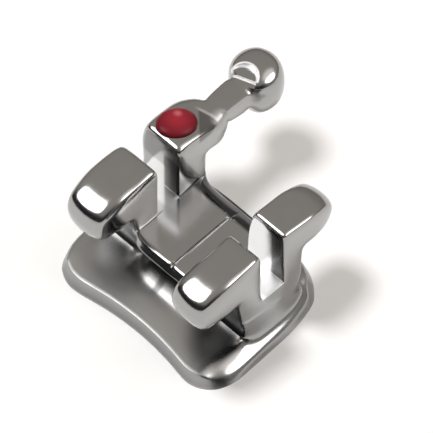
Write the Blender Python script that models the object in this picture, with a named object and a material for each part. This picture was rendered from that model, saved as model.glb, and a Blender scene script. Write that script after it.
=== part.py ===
# Twin orthodontic bracket with a ball hook and a colour dot.
# X runs along the archwire slot, Y from the front tie wings to the hooked wing, Z away from the tooth.
# The origin lies on the bonding base, straight under the middle of the slot.

import math
from enum import IntEnum

import bmesh
import bpy
from mathutils import Matrix, Vector

MM = 0.001

# Archwire slot
SLOT_WIDTH = 0.56
SLOT_FLOOR_HEIGHT = 1.21

# Twins: the two pairs of tie wings, and the flat panel between them
TWIN_GAP = 1.94
HOOKED_TWIN_WIDTH = 1.00
PLAIN_TWIN_WIDTH = 0.80
PLAIN_TWIN_DRAFT = 0.17
PANEL_FRONT = 0.90
PANEL_REAR = 0.63
LIP_HEIGHT = 0.17
LIP_CHAMFER = 0.13
LIP_RECESS = 0.26
RECESS_FOOT_HEIGHT = 0.86
FILLET_FRONT = 1.05
FILLET_HEIGHT = 0.43
FILLET_RUN_HEIGHT = 0.38
PANEL_SLOPE_REACH = 0.44
PANEL_SLOPE_DROP = 0.22
PANEL_SLOPE_FOOT = 0.04
SCRIBE_WIDTH = 0.055
SCRIBE_DEPTH = 0.035

# Tie wings, measured from the slot's walls and from the bonding base
WING_HEIGHT = 2.72
FRONT_WING_REACH = 1.58
REAR_WING_REACH = 1.33
FRONT_POST_DEPTH = 0.66
PLAIN_POST_DEPTH = 0.52
HOOKED_POST_DEPTH = 0.78
FRONT_POST_LEAN = 0.22
FRONT_WING_FALL = 0.085
REAR_WING_FALL = 0.09
HOOKED_WING_FALL = 0.14
FRONT_UNDERCUT_HEIGHT = 1.75
REAR_UNDERCUT_HEIGHT = 1.90
FRONT_CLAW_DROP = 0.20
REAR_CLAW_DROP = 0.10
FRONT_CLAW_LENGTH = 0.48
REAR_CLAW_LENGTH = 0.40
HOOKED_CLAW_LENGTH = 0.28
WING_CROWN = 0.03
NOSE_CORNER = 0.08
NOSE_DROP = 0.12
NOSE_TOP_INSET = 0.11
NOSE_BULGE = 0.06
NOSE_UNDERCUT_INSET = 0.12
HOOKED_NOSE_LIFT = 0.12
PLAIN_WING_FLARE = 0.09
PLAIN_REACH_EXTRA = 0.07
PLAIN_REAR_NOSE_BULGE = 0.08
HOOKED_REACH_EXTRA = 0.06
HOOKED_SLOT_INSET = 0.05
HOOKED_TOP_INSET = 0.09
HOOKED_SIDE_BULGE = 0.07
OUTER_SHOULDER_DROP = 0.056
INNER_SHOULDER_DROP = 0.224

# Bonding pad
PAD_FRONT = 2.06
PAD_REAR = 1.42
PAD_HOOKED_END = 2.25
PAD_PLAIN_END = 2.19
PAD_REAR_TAPER = 0.17
PAD_FRONT_CORNER_RADIUS = 0.86
PAD_REAR_CORNER_RADIUS = 1.00
PAD_WAIST = 0.21
PAD_WAIST_HALF_LENGTH = 1.55
PAD_HOOKED_RIM_HEIGHT = 0.38
PAD_PLAIN_RIM_HEIGHT = 0.28
PAD_RIM_DRAFT = 0.07
PAD_PLAIN_DRAFT = 0.09
PAD_PLAIN_END_FALL = 0.10
PAD_RISE = 0.04
PLAIN_FOOT_FLARE = 0.042
FOOT_FLARE = 0.14
PANEL_FILLET = 0.07

# Hook: a neck and a rounded knob, set over from the inner face of the hooked twin
KNOB_OFFSET = 0.40
KNOB_RADIUS = 0.58
KNOB_HALF_HEIGHT = 0.61
KNOB_REACH = 2.72
KNOB_CENTRE_HEIGHT = 2.11
KNOB_SQUARENESS = 3.0
NECK_OFFSET = 0.09
NECK_WIDTH = 0.52
NECK_THICKNESS = 0.47
NECK_TOP_HEIGHT = 2.52
NECK_RUN_IN = 2.32
NECK_RUN_IN_WIDTH = 0.60
NECK_RUN_IN_THICKNESS = 0.564
NECK_RUN_IN_SLANT = 0.05

# Notch in the knob's top: a D with its straight side towards the neck
NOTCH_START = (-1.63, 2.275)
NOTCH_END = (-1.10, 2.47)
NOTCH_DEPTH = 0.27
NOTCH_STEP = 0.045
NOTCH_SIDES = 12

# Colour dot
DOT_LENGTH = 0.80
DOT_WIDTH = 0.69
DOT_TURN = -20
DOT_OFFSET = -0.02
DOT_DOME = 0.13
DOT_REACH = 0.465
DIMPLE_DEPTH = 0.06
DOT_CLEARANCE = 0.012
DOT_SIDES = 40
DOT_RINGS = 5

SURFACE_LEVELS = 1

SLOT_HALF = SLOT_WIDTH / 2
TWIN_INNER = TWIN_GAP / 2
HOOKED_OUTER = -(TWIN_INNER + HOOKED_TWIN_WIDTH)
PLAIN_OUTER = TWIN_INNER + PLAIN_TWIN_WIDTH
HOOKED_MIDDLE = -(TWIN_INNER + HOOKED_TWIN_WIDTH / 2)
FRONT_POST_FOOT = SLOT_HALF + FRONT_POST_DEPTH - FRONT_POST_LEAN
NECK_INNER = -(TWIN_INNER + NECK_OFFSET)
KNOB_MIDDLE = -(TWIN_INNER + KNOB_OFFSET)


class Col(IntEnum):
    """Lattice planes across X."""

    PAD_LEFT = 0
    LEFT_OUT = 1
    LEFT_A = 2
    LEFT_B = 3
    LEFT_IN = 4
    PANEL_LEFT = 5
    SCRIBE_A = 6
    SCRIBE = 7
    SCRIBE_B = 8
    PANEL_RIGHT = 9
    RIGHT_IN = 10
    RIGHT_B = 11
    RIGHT_A = 12
    RIGHT_OUT = 13
    PAD_RIGHT = 14


class Row(IntEnum):
    """Lattice planes across Y. The pad ends at REAR_NOSE, and only the hook goes on from there."""

    PAD_FRONT = 0
    FRONT_NOSE = 1
    FRONT_CLAW = 2
    FRONT_POST = 3
    SLOT_FRONT = 4
    SLOT_REAR = 5
    REAR_POST = 6
    REAR_CLAW = 7
    REAR_NOSE = 8
    NECK = 9
    KNOB_NEAR = 10
    KNOB_A = 11
    KNOB_B = 12
    KNOB_FAR = 13


class Level(IntEnum):
    """Lattice planes across Z."""

    BASE = 0
    PAD_TOP = 1
    LIP = 2
    SLOT_FLOOR = 3
    UNDERCUT = 4
    WING_MIDDLE = 5
    WING_TOP = 6
    KNOB_TOP = 7


# Heights of the fillet that rises from the pad to the back of the recess under the panel's lip
PANEL_FILLET_HEIGHTS = {
    Row.FRONT_CLAW: FILLET_RUN_HEIGHT,
    Row.FRONT_POST: FILLET_HEIGHT,
    Row.SLOT_FRONT: RECESS_FOOT_HEIGHT,
}

# Shares that each level takes of the front posts' lean and of the plain twin's draft
LEAN_SHARE = {Level.PAD_TOP: 1, Level.LIP: 0.53, Level.SLOT_FLOOR: 0.4}
DRAFT_SHARE = {Level.UNDERCUT: 0.85, Level.WING_MIDDLE: 0.5, Level.WING_TOP: 0}

# Where the panel's lattice lines run in the pad and in the lip, as shares of the half gap between the twins
PAD_SHARE = {Col.PANEL_LEFT: -0.7, Col.SCRIBE_A: -0.35, Col.SCRIBE_B: 0.35, Col.PANEL_RIGHT: 0.7}
LIP_SCRIBE_SHARE = 0.3

# Shares of the way up a wing, along the neck, of the claw's drop, and of the hooked shoulder's pull inwards
WING_MIDDLE_SHARE = 0.45
NECK_MIDDLE_SHARE = 0.45
CLAW_ROOT_SHARE = 0.7
SHOULDER_PULL = {Row.REAR_CLAW: 0.15, Row.REAR_NOSE: 0.35}

# How tight the cage's edges stay, in subdivision steps: 0 is soft, 10 is a true corner
TRUE_CORNER = 10
SCRIBE_EDGE = 3
PANEL_EDGE = 2.5
PAD_FRONT_EDGE = 2.2
SLOT_WALL_EDGE = 2
NECK_EDGE = 1.6
POST_FOOT_EDGE = 1.5
DOT_SIDE_EDGE = 0.9
WING_TOP_EDGE = 1.2
SLOT_TOP_EDGE = 1.1
POST_EDGE = 1
OUTER_SLOT_EDGE = 0.8
OUTER_TOP_EDGE = 0.7
OUTER_EDGE = 0.6
RIM_EDGE = 0.5
CLAW_TOP_EDGE = 0.4
UNDERCUT_EDGE = 0.3

# Bearings of the knob's outer lattice lines, in degrees from +X
KNOB_BEARINGS = {
    (Row.KNOB_NEAR, Col.LEFT_OUT): -150,
    (Row.KNOB_NEAR, Col.LEFT_A): -120,
    (Row.KNOB_NEAR, Col.LEFT_B): -60,
    (Row.KNOB_NEAR, Col.LEFT_IN): -30,
    (Row.KNOB_A, Col.LEFT_OUT): 180,
    (Row.KNOB_A, Col.LEFT_IN): 0,
    (Row.KNOB_B, Col.LEFT_OUT): 155,
    (Row.KNOB_B, Col.LEFT_IN): 25,
    (Row.KNOB_FAR, Col.LEFT_OUT): 130,
    (Row.KNOB_FAR, Col.LEFT_A): 103,
    (Row.KNOB_FAR, Col.LEFT_B): 77,
    (Row.KNOB_FAR, Col.LEFT_IN): 50,
}

# Places of the knob's inner lattice lines and of its levels, as shares of its radius and half height
KNOB_INNER_ACROSS = {Col.LEFT_A: -0.36, Col.LEFT_B: 0.36}
KNOB_INNER_ALONG = {Row.KNOB_A: -0.2, Row.KNOB_B: 0.4}
KNOB_UP = {Level.UNDERCUT: -1, Level.WING_MIDDLE: -0.4, Level.WING_TOP: 0.4, Level.KNOB_TOP: 1}

LEFT_TWIN = (Col.LEFT_OUT, Col.LEFT_IN)
RIGHT_TWIN = (Col.RIGHT_IN, Col.RIGHT_OUT)


def mix(a, b, share):
    return a + (b - a) * share


def is_left(col):
    return col <= Col.LEFT_IN


def is_panel(col):
    return Col.LEFT_IN < col < Col.RIGHT_IN


def body_x(col):
    """X of a lattice plane in the block, posts and wings."""
    stations = {
        Col.LEFT_OUT: HOOKED_OUTER,
        Col.LEFT_A: mix(HOOKED_OUTER, -TWIN_INNER, 1 / 3),
        Col.LEFT_B: mix(HOOKED_OUTER, -TWIN_INNER, 2 / 3),
        Col.LEFT_IN: -TWIN_INNER,
        Col.PANEL_LEFT: PANEL_FILLET - TWIN_INNER,
        Col.SCRIBE_A: -SCRIBE_WIDTH / 2,
        Col.SCRIBE: 0,
        Col.SCRIBE_B: SCRIBE_WIDTH / 2,
        Col.PANEL_RIGHT: TWIN_INNER - PANEL_FILLET,
        Col.RIGHT_IN: TWIN_INNER,
        Col.RIGHT_B: mix(PLAIN_OUTER, TWIN_INNER, 2 / 3),
        Col.RIGHT_A: mix(PLAIN_OUTER, TWIN_INNER, 1 / 3),
        Col.RIGHT_OUT: PLAIN_OUTER,
    }
    return stations[col]


def rear_post_y(col):
    """Y of the rear face of the block and posts."""
    if is_panel(col):
        return PANEL_REAR
    return SLOT_HALF + (HOOKED_POST_DEPTH if is_left(col) else PLAIN_POST_DEPTH)


def round_corner(x, y, half_length, half_width, radius):
    """Moves a point of a rectangle's corner square into the quarter disc that rounds the corner."""
    across = abs(x) - (half_length - radius)
    along = abs(y) - (half_width - radius)
    if across <= 0 or along <= 0:
        return x, y
    shrink = max(across, along) / math.hypot(across, along)
    x = math.copysign(abs(x) - across * (1 - shrink), x)
    y = math.copysign(abs(y) - along * (1 - shrink), y)
    return x, y


def pad_point(col, row, level):
    """The pad: a rounded rectangle, waisted at the front and shorter at the rear, rising to the panel."""
    top = level == Level.PAD_TOP
    draft = PAD_RIM_DRAFT if top else 0
    taper = PAD_REAR_TAPER * row / Row.REAR_NOSE
    left_end = PAD_HOOKED_END - taper - draft
    right_end = PAD_PLAIN_END - taper - (PAD_PLAIN_DRAFT if top else 0)
    columns = {
        Col.PAD_LEFT: -left_end,
        Col.LEFT_OUT: HOOKED_OUTER - FOOT_FLARE / 2,
        Col.RIGHT_OUT: PLAIN_OUTER + PLAIN_FOOT_FLARE,
        Col.PAD_RIGHT: right_end,
    }
    if col in PAD_SHARE:
        x = TWIN_INNER * PAD_SHARE[col]
    else:
        x = columns[col] if col in columns else body_x(col)
    front, rear = PAD_FRONT - draft, PAD_REAR - draft
    y = pad_y(col, row, top, front, rear)
    half_length = left_end if x < 0 else right_end
    if y < 0:
        x, y = round_corner(x, y, half_length, front, PAD_FRONT_CORNER_RADIUS)
    else:
        x, y = round_corner(x, y, half_length, rear, PAD_REAR_CORNER_RADIUS)
    if row < Row.FRONT_POST:
        waist = max(0, 1 - (x / PAD_WAIST_HALF_LENGTH) ** 2)
        y += PAD_WAIST * waist * (1 - row / Row.FRONT_POST)
    return x, y, pad_height(x, col, row) if top else 0


def pad_y(col, row, top, front, rear):
    """Y of a lattice plane in the pad. Its top keeps clear of the recess under the panel's lip."""
    block_front = PANEL_FRONT + FOOT_FLARE
    block_rear = SLOT_HALF + PLAIN_POST_DEPTH + FOOT_FLARE
    post_foot, wall_foot = block_front, SLOT_HALF
    if top:
        post_foot = FILLET_FRONT if is_panel(col) else FRONT_POST_FOOT
        if is_panel(col):
            block_rear = PANEL_REAR + PANEL_SLOPE_REACH + PANEL_SLOPE_FOOT
        if Col.LEFT_IN <= col <= Col.RIGHT_IN:
            block_front = PANEL_FRONT
            wall_foot = PANEL_FRONT - LIP_RECESS
    stations = {
        Row.PAD_FRONT: -front,
        Row.FRONT_NOSE: -mix(front, block_front, 1 / 3),
        Row.FRONT_CLAW: -mix(front, block_front, 2 / 3),
        Row.FRONT_POST: -post_foot,
        Row.SLOT_FRONT: -wall_foot,
        Row.SLOT_REAR: SLOT_HALF,
        Row.REAR_POST: block_rear,
        Row.REAR_CLAW: mix(block_rear, rear, 1 / 2),
        Row.REAR_NOSE: rear,
    }
    return stations[row]


def pad_height(x, col, row):
    """Height of the pad's top: its rim thins towards the plain end, and it rises under the panel's lip."""
    along = (x + PAD_HOOKED_END) / (PAD_HOOKED_END + PAD_PLAIN_END)
    z = mix(PAD_HOOKED_RIM_HEIGHT, PAD_PLAIN_RIM_HEIGHT, along)
    if col == Col.PAD_RIGHT:
        z -= PAD_PLAIN_END_FALL
    if col in (Col.PAD_LEFT, Col.PAD_RIGHT) or row in (Row.PAD_FRONT, Row.REAR_NOSE):
        return z
    if is_panel(col) and row in PANEL_FILLET_HEIGHTS:
        return PANEL_FILLET_HEIGHTS[row]
    return z + PAD_RISE


def block_point(col, row, level):
    """The block under the slot: lip, panel with its scribe line, and the feet of the posts."""
    x = body_x(col)
    panel = is_panel(col)
    lip = level == Level.LIP
    front = PANEL_FRONT if panel else SLOT_HALF + FRONT_POST_DEPTH - FRONT_POST_LEAN * LEAN_SHARE[level]
    rows = {
        Row.FRONT_POST: -front,
        Row.SLOT_FRONT: -SLOT_HALF,
        Row.SLOT_REAR: SLOT_HALF,
        Row.REAR_POST: rear_post_y(col),
    }
    y = rows[row]
    z = SLOT_FLOOR_HEIGHT
    if panel and lip and row == Row.REAR_POST:
        return x, y + PANEL_SLOPE_REACH, z - PANEL_SLOPE_DROP
    if lip and row == Row.SLOT_FRONT and Col.LEFT_IN <= col <= Col.RIGHT_IN:
        y = LIP_RECESS - PANEL_FRONT
    if panel and lip and row == Row.FRONT_POST:
        y -= LIP_CHAMFER
    if Col.PANEL_RIGHT <= col <= Col.RIGHT_IN:
        x -= PLAIN_TWIN_DRAFT
    if level == Level.SLOT_FLOOR and col == Col.LEFT_IN and row == Row.REAR_POST:
        z += PANEL_FILLET
    if lip:
        z -= LIP_HEIGHT
        if Col.SCRIBE_A <= col <= Col.SCRIBE_B:
            x = math.copysign(TWIN_INNER * LIP_SCRIBE_SHARE, x) if x else 0
    elif col == Col.SCRIBE:
        z -= SCRIBE_DEPTH
    return x, y, z


def wing_shape(col, row):
    """Which way a wing points, and its post depth, reach, undercut, fall of the top, claw drop and length."""
    if row <= Row.SLOT_FRONT:
        front = FRONT_UNDERCUT_HEIGHT, FRONT_WING_FALL, FRONT_CLAW_DROP, FRONT_CLAW_LENGTH
        return -1, FRONT_POST_DEPTH, FRONT_WING_REACH, *front
    if is_left(col):
        hooked = REAR_UNDERCUT_HEIGHT, HOOKED_WING_FALL, REAR_CLAW_DROP, HOOKED_CLAW_LENGTH
        return 1, HOOKED_POST_DEPTH, REAR_WING_REACH, *hooked
    plain = REAR_UNDERCUT_HEIGHT, REAR_WING_FALL, REAR_CLAW_DROP, REAR_CLAW_LENGTH
    return 1, PLAIN_POST_DEPTH, REAR_WING_REACH, *plain


def wing_x(col, row, level):
    """X of a point of the posts and wings: crowned sides, drafted and flared inner faces, cut corners."""
    x = body_x(col)
    claw = row in (Row.FRONT_CLAW, Row.REAR_CLAW)
    nose = row in (Row.FRONT_NOSE, Row.REAR_NOSE)
    outer = col in (Col.LEFT_OUT, Col.RIGHT_OUT)
    if outer and (claw or row in (Row.FRONT_POST, Row.REAR_POST)):
        x += math.copysign(WING_CROWN, x)
    if col == Col.LEFT_OUT and row >= Row.SLOT_REAR:
        x += HOOKED_TOP_INSET if level == Level.WING_TOP else -HOOKED_SIDE_BULGE
    if col == Col.LEFT_OUT and row == Row.SLOT_FRONT:
        x += HOOKED_SLOT_INSET
    if col == Col.RIGHT_IN:
        x -= PLAIN_TWIN_DRAFT * DRAFT_SHARE[level]
        x -= PLAIN_WING_FLARE if row in (Row.FRONT_CLAW, Row.FRONT_NOSE) else 0
    if nose and col in (Col.LEFT_OUT, Col.LEFT_IN, Col.RIGHT_IN, Col.RIGHT_OUT):
        x -= math.copysign(NOSE_CORNER / 2, x) * (1 if outer else -1)
    return x


def nose_reach(col, row, level):
    """How much further than the wing's plain reach a point of its nose stands."""
    extra = 0 if is_left(col) else PLAIN_REACH_EXTRA
    if is_left(col) and row == Row.REAR_NOSE:
        extra = HOOKED_REACH_EXTRA
    if col in (Col.LEFT_OUT, Col.LEFT_IN, Col.RIGHT_IN, Col.RIGHT_OUT):
        extra -= NOSE_CORNER
    if level == Level.WING_TOP:
        return extra - NOSE_TOP_INSET
    if level == Level.UNDERCUT:
        return extra - NOSE_UNDERCUT_INSET
    if row == Row.REAR_NOSE and not is_left(col):
        extra += PLAIN_REAR_NOSE_BULGE
    return extra + NOSE_BULGE


def wing_point(col, row, level):
    """Posts above the slot floor and the tie wings, with rounded noses and short claws."""
    sign, post, reach, undercut, fall, claw_drop, claw_length = wing_shape(col, row)
    at_post = row in (Row.FRONT_POST, Row.REAR_POST)
    claw = row in (Row.FRONT_CLAW, Row.REAR_CLAW)
    nose = row in (Row.FRONT_NOSE, Row.REAR_NOSE)
    out = post if at_post else reach - claw_length if claw else reach if nose else 0
    top = WING_HEIGHT - fall * out
    if level == Level.WING_TOP:
        z = top - (NOSE_DROP if nose else 0)
    elif level == Level.WING_MIDDLE:
        z = mix(undercut, top, WING_MIDDLE_SHARE)
    else:
        z = undercut - (claw_drop if nose else claw_drop * CLAW_ROOT_SHARE if claw else 0)
        z += HOOKED_NOSE_LIFT if col == Col.LEFT_IN and row == Row.FRONT_NOSE else 0
    if nose:
        out += nose_reach(col, row, level)
    x = wing_x(col, row, level)
    if is_left(col) and row >= Row.REAR_CLAW:
        x, z = hooked_shoulder(x, z, col, row, level)
    return x, sign * (SLOT_HALF + out), z


def hooked_shoulder(x, z, col, row, level):
    """Past the post, the hooked wing's shoulders fall away and its middle cells take the neck's width."""
    if col in (Col.LEFT_A, Col.LEFT_B):
        x = NECK_INNER - (NECK_WIDTH if col == Col.LEFT_A else 0)
        if row == Row.REAR_NOSE and level != Level.UNDERCUT or level == Level.WING_TOP:
            z = NECK_TOP_HEIGHT - (NECK_THICKNESS if level == Level.WING_MIDDLE else 0)
        return x, z
    if col == Col.LEFT_OUT:
        x = mix(x, HOOKED_MIDDLE, SHOULDER_PULL[row])
    if level == Level.WING_TOP:
        z -= OUTER_SHOULDER_DROP if col == Col.LEFT_OUT else INNER_SHOULDER_DROP
        z += NOSE_DROP if row == Row.REAR_NOSE and col == Col.LEFT_OUT else 0
    return x, z


def hook_point(col, row, level):
    """The neck, and the knob: cells pushed out to a rounded barrel."""
    top = level == Level.WING_TOP
    if row == Row.NECK:
        x = NECK_INNER - (NECK_WIDTH if col == Col.LEFT_A else 0)
        y = mix(SLOT_HALF + REAR_WING_REACH, KNOB_REACH - KNOB_RADIUS, NECK_MIDDLE_SHARE)
        return x, y, NECK_TOP_HEIGHT - (0 if top else NECK_THICKNESS)
    if row == Row.KNOB_NEAR and col in KNOB_INNER_ACROSS and level in (Level.WING_MIDDLE, Level.WING_TOP):
        side = -1 if col == Col.LEFT_A else 1
        x = NECK_INNER - NECK_WIDTH / 2 + side * NECK_RUN_IN_WIDTH / 2
        y = NECK_RUN_IN - (0 if top else NECK_RUN_IN_SLANT)
        return x, y, NECK_TOP_HEIGHT - (0 if top else NECK_RUN_IN_THICKNESS)
    if (row, col) in KNOB_BEARINGS:
        bearing = math.radians(KNOB_BEARINGS[row, col])
        across, along = math.cos(bearing), math.sin(bearing)
    else:
        across, along = KNOB_INNER_ACROSS[col], KNOB_INNER_ALONG[row]
    up = KNOB_UP[level]
    power = KNOB_SQUARENESS
    size = (math.hypot(across, along) ** power + abs(up) ** power) ** (1 / power)
    return (
        KNOB_MIDDLE + KNOB_RADIUS * across / size,
        KNOB_REACH + KNOB_RADIUS * along / size,
        KNOB_CENTRE_HEIGHT + KNOB_HALF_HEIGHT * up / size,
    )


def lattice_point(col, row, level):
    if row >= Row.NECK:
        return hook_point(col, row, level)
    if level <= Level.PAD_TOP:
        return pad_point(col, row, level)
    if level <= Level.SLOT_FLOOR:
        return block_point(col, row, level)
    return wing_point(col, row, level)


def solid_blocks():
    """Each block is a range of lattice planes across X, Y and Z that is filled with metal."""
    blocks = [
        ((Col.PAD_LEFT, Col.PAD_RIGHT), (Row.PAD_FRONT, Row.REAR_NOSE), (Level.BASE, Level.PAD_TOP)),
        ((Col.LEFT_OUT, Col.RIGHT_OUT), (Row.SLOT_FRONT, Row.REAR_POST), (Level.PAD_TOP, Level.SLOT_FLOOR)),
        ((Col.LEFT_OUT, Col.RIGHT_OUT), (Row.FRONT_POST, Row.SLOT_FRONT), (Level.LIP, Level.SLOT_FLOOR)),
        ((Col.LEFT_A, Col.LEFT_B), (Row.REAR_NOSE, Row.KNOB_NEAR), (Level.WING_MIDDLE, Level.WING_TOP)),
        (LEFT_TWIN, (Row.KNOB_NEAR, Row.KNOB_FAR), (Level.UNDERCUT, Level.KNOB_TOP)),
    ]
    for twin in (LEFT_TWIN, RIGHT_TWIN):
        blocks += [
            (twin, (Row.FRONT_POST, Row.SLOT_FRONT), (Level.PAD_TOP, Level.LIP)),
            (twin, (Row.FRONT_POST, Row.SLOT_FRONT), (Level.SLOT_FLOOR, Level.UNDERCUT)),
            (twin, (Row.SLOT_REAR, Row.REAR_POST), (Level.SLOT_FLOOR, Level.UNDERCUT)),
            (twin, (Row.FRONT_NOSE, Row.SLOT_FRONT), (Level.UNDERCUT, Level.WING_TOP)),
            (twin, (Row.SLOT_REAR, Row.REAR_NOSE), (Level.UNDERCUT, Level.WING_TOP)),
        ]
    return blocks


def solid_cells():
    cells = set()
    for cols, rows, levels in solid_blocks():
        for col in range(*cols):
            for row in range(*rows):
                for level in range(*levels):
                    cells.add((col, row, level))
    return cells


def face_corners(cell, axis, step):
    """The four lattice points of one side of a cell, in the order that faces outwards."""
    a, b = (axis + 1) % 3, (axis + 2) % 3
    corners = []
    for da, db in ((0, 0), (1, 0), (1, 1), (0, 1)):
        key = list(cell)
        key[axis] += 1 if step > 0 else 0
        key[a] += da
        key[b] += db
        corners.append(tuple(key))
    return corners if step > 0 else corners[::-1]


def edge_sharpness(keys, normals):
    (c0, r0, l0), (c1, r1, l1) = keys
    rows, levels, cols = {r0, r1}, {l0, l1}, {c0, c1}
    if max(rows) >= Row.NECK:
        return NECK_EDGE if max(rows) <= Row.KNOB_NEAR and min(rows) < max(rows) else 0
    scribe = {Col.SCRIBE_A, Col.SCRIBE, Col.SCRIBE_B}
    if levels == {Level.SLOT_FLOOR} and len(rows) == 2 and len(cols) == 1 and cols <= scribe:
        return SCRIBE_EDGE
    if normals[0] == normals[1]:
        return 0
    if levels == {Level.BASE}:
        return TRUE_CORNER
    if max(levels) <= Level.PAD_TOP:
        return pad_sharpness(cols, rows, levels)
    if levels == {Level.SLOT_FLOOR}:
        return TRUE_CORNER if rows in ({Row.SLOT_FRONT}, {Row.SLOT_REAR}) else PANEL_EDGE
    if max(levels) <= Level.SLOT_FLOOR:
        return POST_EDGE
    return wing_sharpness(cols, rows, levels)


def pad_sharpness(cols, rows, levels):
    if levels != {Level.PAD_TOP}:
        return 0
    if rows == {Row.FRONT_POST} and not any(is_panel(col) for col in cols):
        return POST_FOOT_EDGE
    if rows == {Row.PAD_FRONT}:
        return PAD_FRONT_EDGE
    return RIM_EDGE if rows == {Row.REAR_NOSE} or cols <= {Col.PAD_LEFT, Col.PAD_RIGHT} else 0


def wing_sharpness(cols, rows, levels):
    outer = cols == {Col.LEFT_OUT}
    if rows in ({Row.SLOT_FRONT}, {Row.SLOT_REAR}):
        if outer:
            return OUTER_SLOT_EDGE
        return SLOT_TOP_EDGE if levels == {Level.WING_TOP} else SLOT_WALL_EDGE
    if rows & {Row.FRONT_NOSE, Row.REAR_NOSE}:
        return 0 if rows == {Row.FRONT_NOSE, Row.FRONT_CLAW} else RIM_EDGE
    if levels == {Level.WING_TOP}:
        if rows == {Row.FRONT_CLAW, Row.FRONT_POST}:
            return CLAW_TOP_EDGE
        if rows <= {Row.SLOT_REAR, Row.REAR_POST} and cols == {Col.LEFT_IN}:
            return DOT_SIDE_EDGE
        if rows == {Row.REAR_POST} and max(cols) <= Col.LEFT_IN:
            return POST_FOOT_EDGE
        return OUTER_TOP_EDGE if outer else WING_TOP_EDGE
    if levels == {Level.UNDERCUT} and rows <= {Row.FRONT_POST, Row.REAR_POST}:
        return UNDERCUT_EDGE
    return OUTER_EDGE if outer else POST_EDGE


def build_body_mesh():
    cells = solid_cells()
    bm = bmesh.new()
    crease = bm.edges.layers.float.new("crease_edge")
    verts, faces, normals, keys = {}, [], {}, {}
    for cell in sorted(cells):
        for axis in range(3):
            for step in (-1, 1):
                other = list(cell)
                other[axis] += step
                if tuple(other) in cells:
                    continue
                corners = face_corners(cell, axis, step)
                for key in corners:
                    if key not in verts:
                        verts[key] = bm.verts.new([value * MM for value in lattice_point(*key)])
                        keys[verts[key]] = key
                face = bm.faces.new([verts[key] for key in corners])
                face.smooth = True
                normals[face] = (axis, step)
    for edge in bm.edges:
        sides = [normals[face] for face in edge.link_faces]
        ends = [keys[vert] for vert in edge.verts]
        edge[crease] = math.sqrt(edge_sharpness(ends, sides) / TRUE_CORNER)
    mesh = bpy.data.meshes.new("bracket_body")
    bm.to_mesh(mesh)
    bm.free()
    return mesh


def make_material(name, color, metallic, roughness):
    material = bpy.data.materials.new(name)
    material.use_nodes = True
    shader = material.node_tree.nodes["Principled BSDF"]
    shader.inputs["Base Color"].default_value = (*color, 1)
    shader.inputs["Metallic"].default_value = metallic
    shader.inputs["Roughness"].default_value = roughness
    return material


def add_object(name, mesh, material):
    obj = bpy.data.objects.new(name, mesh)
    bpy.context.scene.collection.objects.link(obj)
    if material:
        mesh.materials.append(material)
    return obj


def dome_mesh(name, radius, depth, dome):
    """A round plug: flat bottom at -depth, straight side up to 0, and a dome over it."""
    profile = [(radius, -depth)]
    for ring in range(DOT_RINGS):
        angle = math.radians(90) * ring / DOT_RINGS
        profile.append((radius * math.cos(angle), dome * math.sin(angle)))
    bm = bmesh.new()
    loops = []
    for r, z in profile:
        loop = []
        for side in range(DOT_SIDES):
            turn = math.tau * side / DOT_SIDES
            loop.append(bm.verts.new((r * math.cos(turn) * MM, r * math.sin(turn) * MM, z * MM)))
        loops.append(loop)
    for low, high in zip(loops, loops[1:]):
        for side in range(DOT_SIDES):
            after = (side + 1) % DOT_SIDES
            bm.faces.new((low[side], low[after], high[after], high[side]))
    bm.faces.new(loops[0][::-1])
    tip = bm.verts.new((0, 0, dome * MM))
    for side in range(DOT_SIDES):
        bm.faces.new((loops[-1][side], loops[-1][(side + 1) % DOT_SIDES], tip))
    for face in bm.faces:
        face.smooth = len(face.verts) < 5
    mesh = bpy.data.meshes.new(name)
    bm.to_mesh(mesh)
    bm.free()
    return mesh


def seat_on_hooked_wing(obj):
    """Makes a round object oval, turns it and stands it on the hooked wing's sloping top, square to it."""
    height = WING_HEIGHT - HOOKED_WING_FALL * DOT_REACH
    oval = Matrix.Diagonal((DOT_WIDTH / DOT_LENGTH, 1, 1, 1))
    obj.data.transform(Matrix.Rotation(math.radians(DOT_TURN), 4, "Z") @ oval)
    obj.location = ((HOOKED_MIDDLE + DOT_OFFSET) * MM, (SLOT_HALF + DOT_REACH) * MM, height * MM)
    obj.rotation_euler = (-math.atan(HOOKED_WING_FALL), 0, 0)


def clear_scene():
    for obj in list(bpy.data.objects):
        bpy.data.objects.remove(obj, do_unlink=True)


def make_cutter(name, mesh):
    cutter = add_object(name, mesh, None)
    cutter.hide_render = True
    cutter.display_type = "WIRE"
    return cutter


def make_dimple_cutter():
    bm = bmesh.new()
    radius = (DOT_LENGTH / 2 + DOT_CLEARANCE) * MM
    bmesh.ops.create_cone(
        bm, cap_ends=True, segments=DOT_SIDES, radius1=radius, radius2=radius, depth=DIMPLE_DEPTH * 2 * MM
    )
    mesh = bpy.data.meshes.new("dimple_cutter")
    bm.to_mesh(mesh)
    bm.free()
    cutter = make_cutter("dimple_cutter", mesh)
    seat_on_hooked_wing(cutter)
    return cutter


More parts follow.
